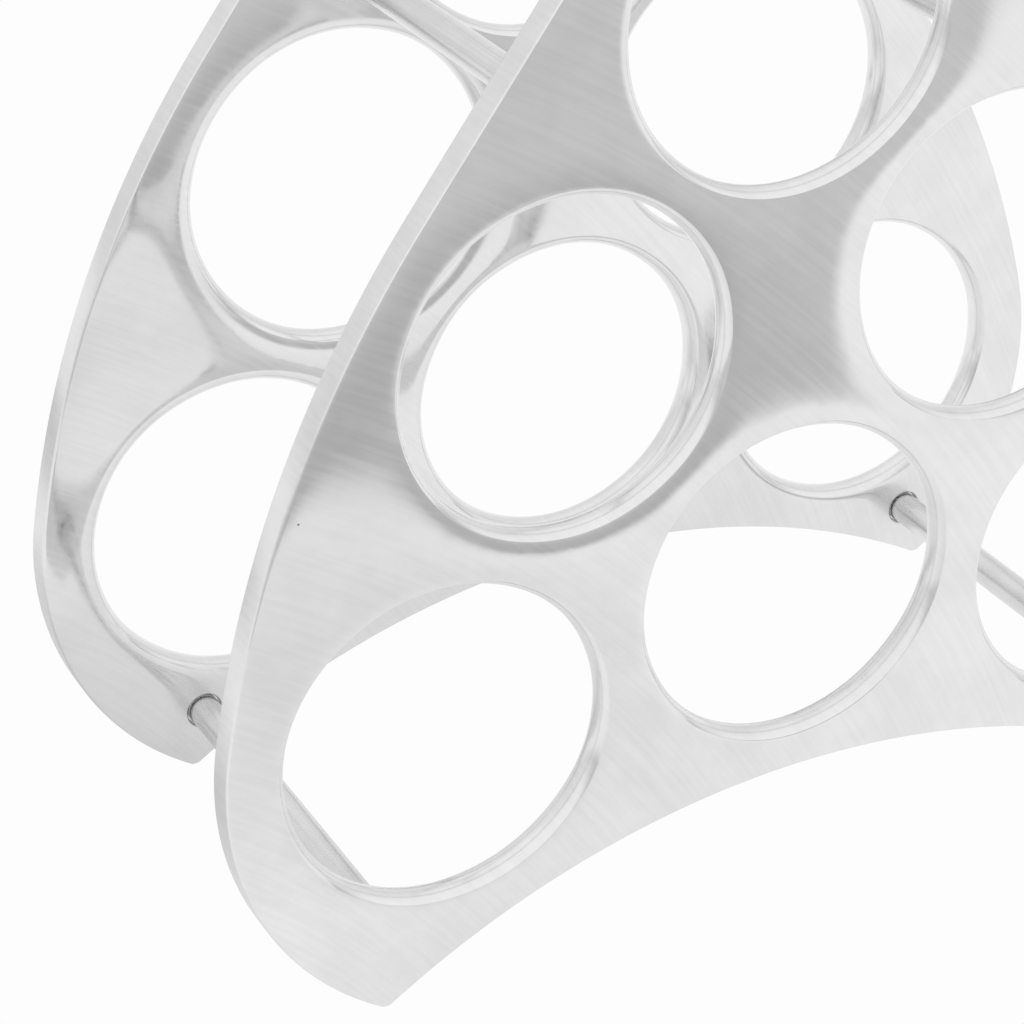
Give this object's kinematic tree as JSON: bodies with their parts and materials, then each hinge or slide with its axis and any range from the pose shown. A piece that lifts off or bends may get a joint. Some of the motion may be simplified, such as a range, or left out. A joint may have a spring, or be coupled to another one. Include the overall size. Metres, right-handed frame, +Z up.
{
  "type": "wine rack",
  "caption": "Free-standing metal wine rack: two pierced, arched plates joined by round tie rods hold bottles lying down.",
  "frame": {"origin": "on the floor plane, midway between the two plates and midway between the feet", "axes": "+X to the rack's right seen from the front, +Y from the front plate to the rear plate, +Z up"},
  "size_m": [0.3272, 0.144, 0.3078],
  "materials": {
    "polished_casting": "polished by hand to a mirror, with faint curved buffing marks and softly rounded edges",
    "polished_rod": "polished, with fine lines along the rod",
    "steel_fixing": "plain turned steel"
  },
  "bodies": {
    "root": {"front_plate": "polished_casting", "rear_plate": "polished_casting", "tie_rod_lower_left": "polished_rod", "tie_rod_lower_right": "polished_rod", "tie_rod_upper_left": "polished_rod", "tie_rod_upper_right": "polished_rod", "front_studs": "steel_fixing", "rear_screws": "steel_fixing"}
  },
  "joints": []
}
